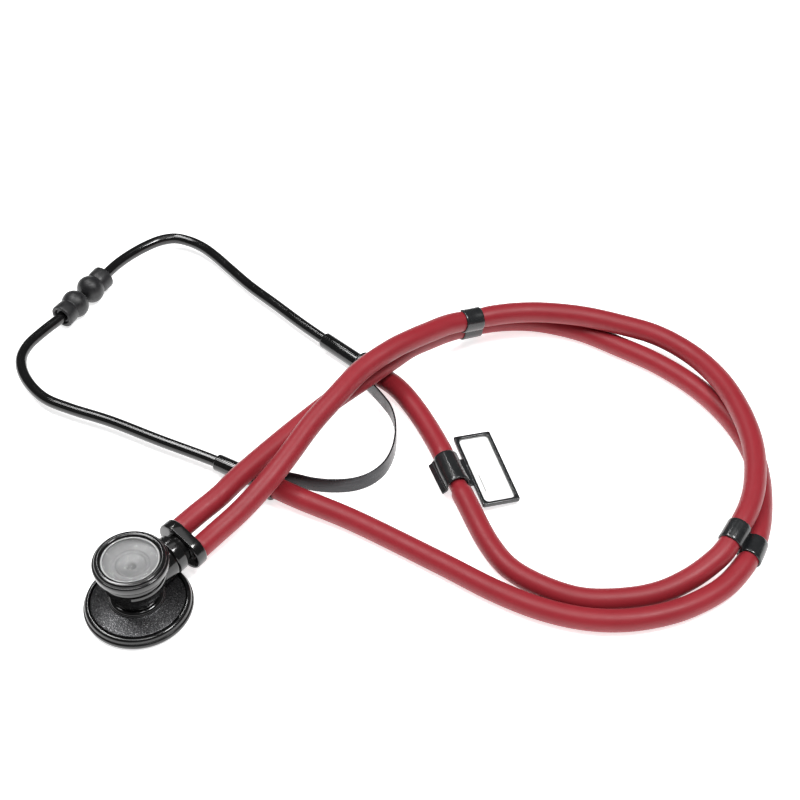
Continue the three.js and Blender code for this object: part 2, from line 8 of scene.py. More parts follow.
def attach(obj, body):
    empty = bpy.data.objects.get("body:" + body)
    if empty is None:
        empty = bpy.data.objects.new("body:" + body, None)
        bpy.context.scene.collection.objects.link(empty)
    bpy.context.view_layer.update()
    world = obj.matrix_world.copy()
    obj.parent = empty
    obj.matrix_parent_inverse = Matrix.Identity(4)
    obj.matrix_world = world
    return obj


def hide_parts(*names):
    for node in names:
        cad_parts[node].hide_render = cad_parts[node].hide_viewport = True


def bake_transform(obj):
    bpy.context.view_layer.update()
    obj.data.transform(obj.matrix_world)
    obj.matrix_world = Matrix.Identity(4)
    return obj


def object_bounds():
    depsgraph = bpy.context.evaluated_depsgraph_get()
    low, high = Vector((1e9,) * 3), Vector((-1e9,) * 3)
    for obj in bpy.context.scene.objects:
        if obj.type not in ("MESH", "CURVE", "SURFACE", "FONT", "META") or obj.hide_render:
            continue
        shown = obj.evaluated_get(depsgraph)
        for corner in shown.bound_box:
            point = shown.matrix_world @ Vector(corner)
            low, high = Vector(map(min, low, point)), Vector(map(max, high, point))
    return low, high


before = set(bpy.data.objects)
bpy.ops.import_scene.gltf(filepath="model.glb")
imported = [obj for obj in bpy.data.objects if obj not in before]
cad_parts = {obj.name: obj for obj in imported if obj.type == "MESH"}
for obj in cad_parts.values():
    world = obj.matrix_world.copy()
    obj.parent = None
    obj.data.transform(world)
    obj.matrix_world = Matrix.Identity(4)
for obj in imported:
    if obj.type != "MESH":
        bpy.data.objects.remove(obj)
cad_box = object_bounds()

MM = 0.001
scene = bpy.context.scene


# ---- Camera ----

def make_camera():
    """The photograph's camera: it looks down at about 45 degrees and is rolled a little."""
    tilt, roll = radians(45.18), radians(1.82)
    place = (0.1061, -0.4482, 0.5627)
    forward = Vector((0, cos(tilt), -sin(tilt)))
    level, upright = Vector((1, 0, 0)), Vector((0, sin(tilt), cos(tilt)))
    right = level * cos(roll) - upright * sin(roll)
    up = upright * cos(roll) + level * sin(roll)
    data = bpy.data.cameras.new("camera")
    data.sensor_width = 36
    data.lens = 81
    data.clip_start = 0.05
    data.clip_end = 20
    camera = bpy.data.objects.new("camera", data)
    turn = Matrix((right, up, -forward)).transposed().to_4x4()
    camera.matrix_world = Matrix.Translation(place) @ turn
    scene.collection.objects.link(camera)
    scene.camera = camera


make_camera()


# ---- Paths, all in millimetres ----

def smooth_path(points, spacing):
    """Evenly spaced points on the centripetal curve through these points."""
    given = [Vector(p) for p in points]
    ends = [2 * given[0] - given[1]] + given + [2 * given[-1] - given[-2]]
    fine, fineness = [], 24
    for a, b, c, d in zip(ends, ends[1:], ends[2:], ends[3:]):
        before, during, after = ((q - p).length ** 0.5 for p, q in ((a, b), (b, c), (c, d)))
        leave = ((b - a) / before - (c - a) / (before + during) + (c - b) / during) * during
        arrive = ((c - b) / during - (d - b) / (during + after) + (d - c) / after) * during
        for i in range(fineness):
            t = i / fineness
            fine.append(
                b + leave * t + (3 * (c - b) - 2 * leave - arrive) * t ** 2
                + (2 * (b - c) + leave + arrive) * t ** 3
            )
    fine.append(given[-1])
    reach = [0.0]
    for p, q in zip(fine, fine[1:]):
        reach.append(reach[-1] + (q - p).length)
    count = max(2, round(reach[-1] / spacing))
    even, at = [], 0
    for i in range(count + 1):
        target = reach[-1] * i / count
        while at < len(reach) - 2 and reach[at + 1] < target:
            at += 1
        part = (target - reach[at]) / (reach[at + 1] - reach[at])
        even.append(fine[at].lerp(fine[at + 1], min(1.0, part)))
    return even


def nearest(path, point):
    """The index of the path's point that is nearest to a place."""
    return min(range(len(path)), key=lambda i: (path[i] - Vector(point)).length)


def tangent(path, i):
    """The path's direction at one of its points."""
    return (path[min(i + 1, len(path) - 1)] - path[max(i - 1, 0)]).normalized()


# ---- Meshes ----

def add_mesh(name, vertices, faces, body, materials, paint=None, sharp=40):
    """A mesh from millimetres, riding on a body. paint gives each face's material, if there are several."""
    mesh = bpy.data.meshes.new(name)
    mesh.from_pydata([Vector(v) * MM for v in vertices], [], faces)
    for material in materials if isinstance(materials, (list, tuple)) else [materials]:
        mesh.materials.append(material)
    if paint:
        mesh.polygons.foreach_set("material_index", paint)
    mesh.polygons.foreach_set("use_smooth", [True] * len(mesh.polygons))
    mesh.set_sharp_from_angle(angle=radians(sharp))
    mesh.validate()
    mesh.update()
    piece = bpy.data.objects.new(name, mesh)
    scene.collection.objects.link(piece)
    if body:
        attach(piece, body)
    return piece


def placed(vertices, matrix):
    return [matrix @ Vector(v) for v in vertices]


def rounded(outline, size, closed=True, steps=4):
    """The outline with each corner replaced by a small curve. A size may be given for each corner."""
    count, most = len(outline), 0.48
    sizes = size if isinstance(size, (list, tuple)) else [size] * count
    out = []
    for i, corner in enumerate(outline):
        if not closed and i in (0, count - 1):
            out.append(tuple(corner))
            continue
        here = Vector(corner)
        before, after = Vector(outline[i - 1]) - here, Vector(outline[(i + 1) % count]) - here
        if sizes[i] <= 0 or before.length < 1e-6 or after.length < 1e-6:
            out.append(tuple(corner))
            continue
        cut = min(sizes[i], before.length * most, after.length * most)
        start, end = here + before.normalized() * cut, here + after.normalized() * cut
        for k in range(steps + 1):
            t = k / steps
            out.append(tuple(start * (1 - t) ** 2 + here * 2 * t * (1 - t) + end * t ** 2))
    return out


def turned(outline, segments=96, closed=True):
    """Vertices and faces of a body of revolution about Z, and each face's place along the outline."""
    vertices, faces, rows = [], [], []
    rings = []
    for radius, height in outline:
        if radius < 1e-6:
            rings.append([len(vertices)] * segments)
            vertices.append((0, 0, height))
        else:
            rings.append(list(range(len(vertices), len(vertices) + segments)))
            vertices += [
                (radius * cos(2 * pi * j / segments), radius * sin(2 * pi * j / segments), height)
                for j in range(segments)
            ]
    pairs = list(zip(range(len(rings)), range(1, len(rings))))
    if closed:
        pairs.append((len(rings) - 1, 0))
    for i, k in pairs:
        for j in range(segments):
            beside = (j + 1) % segments
            corners = [rings[i][j], rings[i][beside], rings[k][beside], rings[k][j]]
            face = [v for c, v in enumerate(corners) if v not in corners[:c]]
            if len(face) > 2:
                faces.append(face)
                rows.append(i)
    return vertices, faces, rows


def loft(loops):
    """Vertices and faces through closed loops of the same count, in order, with both ends capped."""
    count = len(loops[0])
    vertices = [v for loop in loops for v in loop]
    faces = []
    for i in range(len(loops) - 1):
        a, b = i * count, (i + 1) * count
        faces += [(a + j, a + (j + 1) % count, b + (j + 1) % count, b + j) for j in range(count)]
    faces.append(tuple(reversed(range(count))))
    last = (len(loops) - 1) * count
    faces.append(tuple(range(last, last + count)))
    return vertices, faces


def sweep(path, section, first_side):
    """A section of (across, up) pairs carried along a path without twist, from first_side on."""
    loops = []
    side = Vector(first_side)
    for i, centre in enumerate(path):
        ahead = tangent(path, i)
        side = (side - ahead * side.dot(ahead)).normalized()
        up = ahead.cross(side)
        points = section(i) if callable(section) else section
        loops.append([centre + side * x + up * y for x, y in points])
    return loft(loops)


# Lays a body made about Z along X.
ALONG_X = Matrix.Rotation(pi / 2, 4, "Y")


def circle(radius, sides):
    return [(radius * cos(2 * pi * i / sides), radius * sin(2 * pi * i / sides)) for i in range(sides)]


# ---- Materials ----

def new_material(name, base, roughness, metallic=0.0, **sockets):
    material = bpy.data.materials.new(name)
    material.use_nodes = True
    shader = material.node_tree.nodes["Principled BSDF"]
    shader.inputs["Base Color"].default_value = (*base, 1)
    shader.inputs["Roughness"].default_value = roughness
    shader.inputs["Metallic"].default_value = metallic
    for socket, value in sockets.items():
        shader.inputs[socket.replace("_", " ")].default_value = value
    return material


class Nodes:
    """Short ways to add nodes to a material."""

    def __init__(self, material):
        self.tree = material.node_tree
        self.shader = self.tree.nodes["Principled BSDF"]
        self.coordinates = self.tree.nodes.new("ShaderNodeTexCoord")

    def link(self, source, target):
        self.tree.links.new(source, target)

    def stretched(self, scale):
        mapping = self.tree.nodes.new("ShaderNodeMapping")
        mapping.inputs["Scale"].default_value = scale
        self.link(self.coordinates.outputs["Object"], mapping.inputs["Vector"])
        return mapping.outputs["Vector"]

    def noise(self, scale, detail=3.0, roughness=0.5, vector=None):
        node = self.tree.nodes.new("ShaderNodeTexNoise")
        node.inputs["Scale"].default_value = scale
        node.inputs["Detail"].default_value = detail
        node.inputs["Roughness"].default_value = roughness
        self.link(vector or self.coordinates.outputs["Object"], node.inputs["Vector"])
        return node.outputs["Fac"]

    def cells(self, scale):
        node = self.tree.nodes.new("ShaderNodeTexVoronoi")
        node.feature = "F1"
        node.inputs["Scale"].default_value = scale
        self.link(self.coordinates.outputs["Object"], node.inputs["Vector"])
        return node

    def ramp(self, value, *stops):
        node = self.tree.nodes.new("ShaderNodeValToRGB")
        elements = node.color_ramp.elements
        while len(elements) < len(stops):
            elements.new(0.5)
        for element, (place, colour) in zip(elements, stops):
            element.position = place
            element.color = (*colour, 1)
        self.link(value, node.inputs["Fac"])
        return node.outputs["Color"]

    def spread(self, value, low, high):
        """The value's middle range, which is where noise mostly lies, spread over low to high."""
        node = self.tree.nodes.new("ShaderNodeMapRange")
        node.inputs["From Min"].default_value = 0.3
        node.inputs["From Max"].default_value = 0.7
        node.inputs["To Min"].default_value = low
        node.inputs["To Max"].default_value = high
        self.link(value, node.inputs["Value"])
        return node.outputs["Result"]

    def bump(self, height, strength, distance, normal=None):
        node = self.tree.nodes.new("ShaderNodeBump")
        node.inputs["Strength"].default_value = strength
        node.inputs["Distance"].default_value = distance
        self.link(height, node.inputs["Height"])
        if normal:
            self.link(normal, node.inputs["Normal"])
        return node.outputs["Normal"]

    def colour(self, value):
        self.link(value, self.shader.inputs["Base Color"])

    def roughness(self, value):
        self.link(value, self.shader.inputs["Roughness"])

    def normal(self, value):
        self.link(value, self.shader.inputs["Normal"])


def lacquer(name, dark=0.004, gloss=0.13):
    """Black lacquer over metal, with faint orange peel and small changes of gloss."""
    material = new_material(
        name, (dark, dark, dark), gloss, 0.0, Specular_IOR_Level=0.5, Coat_Weight=0.12, Coat_Roughness=0.05,
    )
    nodes = Nodes(material)
    low, high = (dark * 0.75,) * 3, (dark * 1.5, dark * 1.5, dark * 1.6)
    nodes.colour(nodes.ramp(nodes.noise(90, 4), (0.3, low), (0.75, high)))
    nodes.roughness(nodes.spread(nodes.noise(140, 5), gloss - 0.04, gloss + 0.07))
    peel = nodes.bump(nodes.noise(300, 2), 0.02, 0.0001)
    nodes.normal(nodes.bump(nodes.noise(5200, 2), 0.012, 0.00003, peel))
    return material


def speckled_casting():
    """Satin black over a shot-blasted casting, which glitters in small grains."""
    material = new_material("speckled_satin_black", (0.05, 0.05, 0.05), 0.36, 0.8, Specular_IOR_Level=0.5)
    nodes = Nodes(material)
    grains = nodes.cells(2600)
    grain_tint = nodes.noise(3200, 2, 0.6)
    dark, middle, bright = (0.012, 0.012, 0.013), (0.05, 0.05, 0.052), (0.36, 0.36, 0.365)
    nodes.colour(nodes.ramp(grain_tint, (0.40, dark), (0.58, middle), (0.72, bright)))
    nodes.roughness(nodes.spread(nodes.noise(1800, 3), 0.24, 0.42))
    coarse = nodes.bump(grains.outputs["Distance"], 0.25, 0.00006)
    nodes.normal(nodes.bump(grain_tint, 0.2, 0.00004, coarse))
    return material


def burgundy_rubber():
    """Extruded rubber with a soft sheen, slight changes of tint and a fine uneven surface."""
    material = new_material(
        "burgundy_rubber", (0.25, 0.013, 0.021), 0.45, 0.0,
        Specular_IOR_Level=0.34, Sheen_Weight=0.05, Sheen_Roughness=0.5,
    )
    nodes = Nodes(material)
    tint = nodes.noise(38, 4, 0.55)
    dark, middle, light = (0.23, 0.011, 0.018), (0.25, 0.013, 0.021), (0.275, 0.016, 0.025)
    nodes.colour(nodes.ramp(tint, (0.28, dark), (0.55, middle), (0.8, light)))
    nodes.roughness(nodes.spread(nodes.noise(220, 5, 0.6), 0.40, 0.52))
    waves = nodes.bump(nodes.noise(160, 2), 0.10, 0.0003)
    nodes.normal(nodes.bump(nodes.noise(4200, 3, 0.6), 0.16, 0.00006, waves))
    return material


def soft_rubber():
    """The eartips' charcoal silicone: satin, with a fine moulded grain."""
    material = new_material(
        "charcoal_silicone", (0.010, 0.010, 0.011), 0.40, 0.0, Sheen_Weight=0.08, Sheen_Roughness=0.4,
    )
    nodes = Nodes(material)
    nodes.colour(nodes.ramp(nodes.noise(420, 4), (0.3, (0.004, 0.004, 0.005)), (0.7, (0.008, 0.008, 0.009))))
    nodes.roughness(nodes.spread(nodes.noise(900, 4), 0.36, 0.55))
    nodes.normal(nodes.bump(nodes.noise(5000, 2), 0.22, 0.00007))
    return material


def moulded_plastic():
    """The clips' black plastic: satin gloss with a light mould texture and rubbed patches."""
    material = new_material("moulded_black_plastic", (0.010, 0.011, 0.012), 0.23, Specular_IOR_Level=0.6)
    nodes = Nodes(material)
    nodes.colour(nodes.ramp(nodes.noise(300, 3), (0.3, (0.009, 0.010, 0.011)), (0.75, (0.015, 0.016, 0.017))))
    nodes.roughness(nodes.spread(nodes.noise(260, 5, 0.65), 0.19, 0.27))
    nodes.normal(nodes.bump(nodes.noise(2400, 3), 0.04, 0.00003))
    return material


def spring_steel():
    """Blackened strap with the rolling marks along it."""
    material = new_material("blackened_spring_steel", (0.03, 0.031, 0.033), 0.3, 0.7, Specular_IOR_Level=0.5)
    nodes = Nodes(material)
    rolled = nodes.noise(1, 4, 0.6, nodes.stretched((120, 120, 2600)))
    nodes.colour(nodes.ramp(rolled, (0.3, (0.02, 0.02, 0.022)), (0.7, (0.05, 0.051, 0.054))))
    nodes.roughness(nodes.spread(nodes.noise(300, 4), 0.24, 0.40))
    nodes.normal(nodes.bump(rolled, 0.12, 0.00005))
    return material


def bare_metal(name, shade):
    """The machined floor seen through the small diaphragm, with faint rings from the lathe."""
    material = new_material(name, (shade, shade, shade), 0.42, 0.3)
    nodes = Nodes(material)
    rings = nodes.tree.nodes.new("ShaderNodeTexWave")
    rings.wave_type = "RINGS"
    rings.rings_direction = "Z"
    rings.inputs["Scale"].default_value = 900
    rings.inputs["Distortion"].default_value = 0.4
    nodes.link(nodes.coordinates.outputs["Object"], rings.inputs["Vector"])
    dark, light = (shade * 0.85,) * 3, (shade * 1.1, shade * 1.1, shade * 1.12)
    nodes.colour(nodes.ramp(nodes.noise(500, 4), (0.3, dark), (0.7, light)))
    nodes.roughness(nodes.spread(nodes.noise(700, 3), 0.36, 0.52))
    nodes.normal(nodes.bump(rings.outputs["Fac"], 0.08, 0.00004))
    return material


def polished_steel():
    """Bright steel of the hidden small parts."""
    roughness = 0.25
    material = new_material("bright_steel", (0.6, 0.61, 0.62), roughness, 1.0)
    nodes = Nodes(material)
    nodes.colour(nodes.ramp(nodes.noise(800, 4), (0.3, (0.5, 0.51, 0.52)), (0.7, (0.68, 0.69, 0.7))))
    nodes.roughness(nodes.spread(nodes.noise(1400, 3), roughness - 0.06, roughness + 0.12))
    nodes.normal(nodes.bump(nodes.noise(2500, 2), 0.1, 0.00004))
    return material


def clear_sheet(name, tint, alpha):
    """Clear plastic with faint clouding and wipe marks."""
    material = new_material(name, tint, 0.07, 0.0, Alpha=alpha, Specular_IOR_Level=0.7)
    nodes = Nodes(material)
    nodes.colour(nodes.ramp(nodes.noise(160, 5), (0.3, tuple(0.92 * c for c in tint)), (0.7, tint)))
    nodes.roughness(nodes.spread(nodes.noise(420, 5, 0.7), 0.04, 0.16))
    nodes.normal(nodes.bump(nodes.noise(60, 2), 0.05, 0.0003))
    return material


def diaphragm_resin():
    """The face-down diaphragm: pale resin sheet with a woven core."""
    material = new_material("diaphragm_resin", (0.5, 0.51, 0.51), 0.4, 0.0)
    nodes = Nodes(material)
    weave = nodes.tree.nodes.new("ShaderNodeTexChecker")
    weave.inputs["Scale"].default_value = 1800
    nodes.link(nodes.coordinates.outputs["Object"], weave.inputs["Vector"])
    nodes.colour(nodes.ramp(nodes.noise(900, 4), (0.3, (0.44, 0.45, 0.45)), (0.7, (0.56, 0.57, 0.57))))
    nodes.roughness(nodes.spread(nodes.noise(600, 3), 0.32, 0.5))
    nodes.normal(nodes.bump(weave.outputs["Fac"], 0.2, 0.00004))
    return material


def paper_card():
    """White card. It glows very slightly, to stay white under its clear cover."""
    material = new_material(
        "white_card", (0.86, 0.86, 0.85), 0.6, Emission_Color=(1, 1, 0.99, 1), Emission_Strength=0.1,
    )
    nodes = Nodes(material)
    nodes.colour(nodes.ramp(nodes.noise(1200, 5, 0.7), (0.3, (0.82, 0.82, 0.81)), (0.7, (0.9, 0.9, 0.89))))
    nodes.normal(nodes.bump(nodes.noise(2200, 4), 0.15, 0.00005))
    return material


def ink():
    """Faint grey print."""
    material = new_material("grey_ink", (0.2, 0.2, 0.2), 0.6)
    nodes = Nodes(material)
    nodes.colour(nodes.ramp(nodes.noise(3000, 3), (0.3, (0.14, 0.14, 0.14)), (0.7, (0.3, 0.3, 0.3))))
    return material


def floor_paper():
    """Nearly white studio paper. It glows, because the photograph's ground is retouched to white."""
    material = new_material(
        "studio_floor", (0.93, 0.93, 0.93), 0.75, Emission_Color=(1, 1, 1, 1), Emission_Strength=0.72,
    )
    nodes = Nodes(material)
    nodes.colour(nodes.ramp(nodes.noise(6, 3), (0.3, (0.925, 0.925, 0.925)), (0.7, (0.94, 0.94, 0.94))))
    return material


gloss_black = lacquer("gloss_black_lacquer")
deep_black = lacquer("deep_black_lacquer", 0.003, 0.11)
# Satin black for the hub's flat facet. Its tone is lighter than the gloss black as a painted reflection, so
# the flat cut shows.
satin_facet_painted_light = lacquer("satin_facet_painted_light_lacquer", 0.025, 0.24)
casting = speckled_casting()
rubber = burgundy_rubber()
silicone = soft_rubber()
plastic = moulded_plastic()
strap_steel = spring_steel()
recess_metal = bare_metal("machined_recess", 0.10)
# A darker copy of the machined recess for its deeper middle: painted shade.
recess_metal_painted_shade = bare_metal("recess_middle_painted_shade", 0.07)
bright_steel = polished_steel()
dark_steel = spring_steel()
clear_film = clear_sheet("clear_diaphragm", (0.86, 0.87, 0.87), 0.06)
# The film's moulded rim, pale and nearly opaque: a painted highlight along its bead.
film_rim_painted_highlight = clear_sheet("film_rim_painted_highlight", (0.9, 0.9, 0.9), 0.45)
window_sheet = clear_sheet("clear_window", (0.95, 0.96, 0.96), 0.12)
resin = diaphragm_resin()
card = paper_card()
grey_ink = ink()
seal_rubber = soft_rubber()


# ---- Tubing ----

# The tubes' radius, and where the clips, the tag and the ferrules are.
TUBE = 4.6
UPPER_LEFT, UPPER_RIGHT = (138, 147.1, 9), (139.5, 142.2, 18)
LOWER_LEFT, LOWER_RIGHT = (245, 13.3, 5.7), (238, 17.4, 11.9)
TAG_CENTRE = (126.8, 60.6, 6)

LEFT_FERRULE, RIGHT_FERRULE = Vector((27, 72.2, 6)), Vector((73, 144.8, 6))
LEFT_DIRECTION = Vector((0.848, -0.53, 0)).normalized()
RIGHT_DIRECTION = Vector((0.707, -0.707, 0)).normalized()
COLLAR_START, COLLAR_END, COLLAR_RADIUS = 22.5, 31, 5.9
TUBE_GAP = 0.3
LEFT_TUBE_END = LEFT_FERRULE + LEFT_DIRECTION * (COLLAR_END + TUBE_GAP)
RIGHT_TUBE_END = RIGHT_FERRULE + RIGHT_DIRECTION * (COLLAR_END + TUBE_GAP)

# Each route runs from the manifold's nipple to the ferrule of its ear tube.
LEFT_ROUTE = [
    (15.5, 25.9, 15.5), (22.1, 33.4, 15.7), (31.2, 42.8, 16.3), (39.4, 53.2, 16.8), (51.8, 67.6, 17),
    (64.2, 81.4, 17), (76.8, 94.7, 17), (89.6, 106.5, 17), (102.9, 119.1, 16.8), (111.3, 127.3, 16.2),
    (119.7, 134.5, 14), (129, 142.4, 11), UPPER_LEFT, (149, 151.2, 7.6), (160, 153.4, 6), (171, 153, 5),
    (188.5, 146.8, 4.6), (205.5, 135.5, 4.6), (220, 124.8, 4.6), (233.2, 111.6, 4.6), (242.6, 98.4, 4.6),
    (250, 83, 4.6), (254.2, 67.2, 4.6), (254.6, 52, 4.6), (252.6, 36.8, 5), (249.6, 24.6, 5.6), LOWER_LEFT,
    (240.8, 6.8, 5.4), (233, -2, 4.8), (224, -8.4, 4.6), (210.5, -14.6, 4.6), (193, -18, 4.6),
    (176.5, -17, 4.6), (160, -11.8, 4.6), (143, -2.6, 4.6), (120, 13.8, 4.6), (84.5, 38.2, 4.7),
    (64, 49.1, 5.9), LEFT_TUBE_END,
]
RIGHT_ROUTE = [
    (23.5, 19, 11.7), (30, 26.5, 12), (39.6, 35.9, 14.2), (49, 46, 17.6), (58.4, 58.4, 21), (69, 75, 24),
    (79.5, 89, 26), (90.1, 103.2, 26.8), (103, 115.2, 26.8), (111, 121.8, 25.7), (119.4, 128.8, 23.6),
    (129, 136.6, 20.8), UPPER_RIGHT, (150, 146.1, 16.7), (160, 148.4, 15.6), (171, 149, 14.8),
    (189, 146, 14.4), (206.3, 141.2, 12.8), (221.3, 135, 11.6), (235.2, 121.6, 11.8), (245, 103, 13.4),
    (250.4, 83, 14.4), (252.4, 64, 14.5), (250.6, 46, 14), (246.2, 31.6, 13.2), LOWER_RIGHT,
    (232.4, 9.8, 10.2), (225.8, 4.4, 8.6), (217.4, -0.8, 7), (206, -5.4, 5.4), (192.5, -7.5, 4.6),
    (174.5, -6.6, 4.6), (159, 0.6, 4.6), (147.6, 10, 4.6), (140.4, 22.4, 4.6), (131.5, 47, 5.7),
    TAG_CENTRE, (121.5, 78.5, 5.6), (112, 101.2, 5.5), (104.6, 113.2, 6), RIGHT_TUBE_END,
]
left_path = smooth_path(LEFT_ROUTE, 2.0)
right_path = smooth_path(RIGHT_ROUTE, 2.0)

# Each pinch is half its width, its depth, and how soon the tube is round again.
CLIP_PINCH = (4, 0.3, 2)
TAG_PINCH = (9.1, 0.9, 1.2)


def radius_at(place, pinches):
    """The soft tube is pinched a little where a clip or the tag holds it."""
    radius = TUBE
    for centre, half_width, depth, fall in pinches:
        away = max(0.0, (place - Vector(centre)).length - half_width) / fall
        radius -= depth * math.exp(-away * away)
    return radius


def tube_piece(name, path, pinches, blend_to=None):
    """One stretch of rubber tube. Its end face is rounded a little, as a cut end is."""
    sides, edge = 32, 0.25
    first, last = tangent(path, 0), tangent(path, len(path) - 1)
    line = [path[0], path[0] + first * edge] + path[1:-1] + [path[-1] - last * edge, path[-1]]
    radii = [radius_at(place, pinches) for place in line]
    radii[-1 if blend_to else 0] -= edge
    vertices, faces = sweep(line, lambda i: circle(radii[i], sides), (0, 0, 1))
    piece = add_mesh(name, vertices, faces, None if blend_to else "stem_and_tubing", rubber, sharp=60)
    if blend_to:
        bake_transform(piece)
    return piece


def make_tube(side, path, split, pinches):
    """A tube is two pieces that meet inside a clip; the piece near the ear tube is left without a body."""
    meeting = nearest(path, split)
    run, tail = path[: meeting + 1], path[meeting:]
    run_piece = tube_piece(f"{side}_tube_run", run, pinches)
    tail_piece = tube_piece(f"{side}_tube_tail", tail, pinches, f"{side}_binaural")
    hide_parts(f"{side}_tube")
    return (run_piece, run), (tail_piece, tail)


left_run, left_tail = make_tube(
    "left", left_path, split=LOWER_LEFT,
    pinches=[(UPPER_LEFT, *CLIP_PINCH), (LOWER_LEFT, *CLIP_PINCH)],
)
right_run, right_tail = make_tube(
    "right", right_path, split=TAG_CENTRE,
    pinches=[(UPPER_RIGHT, *CLIP_PINCH), (LOWER_RIGHT, *CLIP_PINCH), (TAG_CENTRE, *TAG_PINCH)],
)


# ---- Clips ----

def open_ring(inner, outer, opening):
    """A closed outline of an open ring with round lips, as (across, up) pairs, open towards an angle."""
    half_opening, steps = 0.75, 28
    start, end = opening + half_opening, opening + 2 * pi - half_opening
    middle, half = (inner + outer) / 2, (outer - inner) / 2
    angles = [start + (end - start) * i / steps for i in range(steps + 1)]
    lip_end = [
        (middle * cos(end) + half * cos(end + t), middle * sin(end) + half * sin(end + t))
        for t in (pi * i / 6 for i in range(1, 6))
    ]
    lip_start = [
        (middle * cos(start) + half * cos(start + t), middle * sin(start) + half * sin(start + t))
        for t in (pi + pi * i / 6 for i in range(1, 6))
    ]
    outside = [(outer * cos(a), outer * sin(a)) for a in angles]
    inside = [(inner * cos(a), inner * sin(a)) for a in reversed(angles)]
    return outside + lip_end + inside + lip_start


def clip_stations(width):
    """Places along a clip and how far its section is drawn in there, so that its rims are rounded."""
    half, edge, steps = width / 2, 0.30, 12
    rim = [(-half, edge), (-half + 0.10, 0.12), (-half + edge, 0.0)]
    inner = [(-half + edge + (width - 2 * edge) * i / steps, 0.0) for i in range(1, steps)]
    return rim + inner + [(-s, inset) for s, inset in reversed(rim)]


def at_distance(path, index, distance):
    """The point and the direction a distance along from a path's point."""
    step = 1 if distance >= 0 else -1
    left = abs(distance)
    i = index
    while 0 <= i + step < len(path) and (path[i + step] - path[i]).length < left:
        left -= (path[i + step] - path[i]).length
        i += step
    ahead = (path[i + step] - path[i]).normalized() if 0 <= i + step < len(path) else tangent(path, i)
    return path[i] + ahead * left, tangent(path, i)


def ring_on_tube(path, centre, across, opening, width, wall=0.9, inner=4.32):
    """An open ring that follows a tube. Its opening is an angle from across."""
    index = nearest(path, centre)
    loops = []
    for distance, inset in clip_stations(width):
        place, ahead = at_distance(path, index, distance)
        side = (across - ahead * across.dot(ahead)).normalized()
        up = ahead.cross(side)
        section = open_ring(inner + inset, inner + wall - inset, opening)
        loops.append([place + side * x + up * y for x, y in section])
    return loft(loops)


def joined(*parts):
    """Several sets of vertices and faces as one."""
    vertices, faces = [], []
    for some_vertices, some_faces in parts:
        shift = len(vertices)
        vertices += list(some_vertices)
        faces += [tuple(v + shift for v in face) for face in some_faces]
    return vertices, faces


def web_between(left, right, run):
    """The solid neck between a clip's two rings, with rounded long edges."""
    half_width, half, reach, edge = 4.5, 1.7, 1.3, 0.3
    across = (right - left).normalized()
    ahead = (run - across * run.dot(across)).normalized()
    up = ahead.cross(across)
    middle = (left + right) / 2
    outline = rounded([(-reach, -half), (reach, -half), (reach, half), (-reach, half)], 0.4)
    loops = []
    stations = (
        (-half_width, 0.2), (-half_width + edge, 0), (half_width - edge, 0), (half_width, 0.2),
    )
    for distance, inset in stations:
        loops.append([middle + ahead * distance + across * x + up * (y * (1 - inset)) for x, y in outline])
    return loft(loops)


def double_clip(name, left, right, run, opening):
    """Two open rings joined by a neck, holding both tubes side by side."""
    width = 9.4
    across = (Vector(right) - Vector(left)).normalized()
    rings = [
        ring_on_tube(left_path, left, across, opening, width),
        ring_on_tube(right_path, right, across, opening, width),
        web_between(Vector(left), Vector(right), Vector(run)),
    ]
    vertices, faces = joined(*rings)
    piece = add_mesh(f"{name}_moulding", vertices, faces, "stem_and_tubing", plastic, sharp=50)
    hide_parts(name)
    return piece


upper_clip = double_clip(
    "upper_tube_clip", UPPER_LEFT, UPPER_RIGHT, run=(0.93, 0.36, -0.1), opening=-1.9,
)
lower_clip = double_clip(
    "lower_tube_clip", LOWER_LEFT, LOWER_RIGHT, run=(-0.52, -0.85, -0.05), opening=1.5,
)


# ---- Name tag ----

def rounded_rectangle(length, width, radius):
    steps = 8
    corners = ((1, 1, 0), (-1, 1, 90), (-1, -1, 180), (1, -1, 270))
    points = []
    for sx, sy, begin in corners:
        for i in range(steps + 1):
            a = radians(begin + 90 * i / steps)
            x = sx * (length / 2 - radius) + radius * cos(a)
            y = sy * (width / 2 - radius) + radius * sin(a)
            points.append((x, y))
    return points


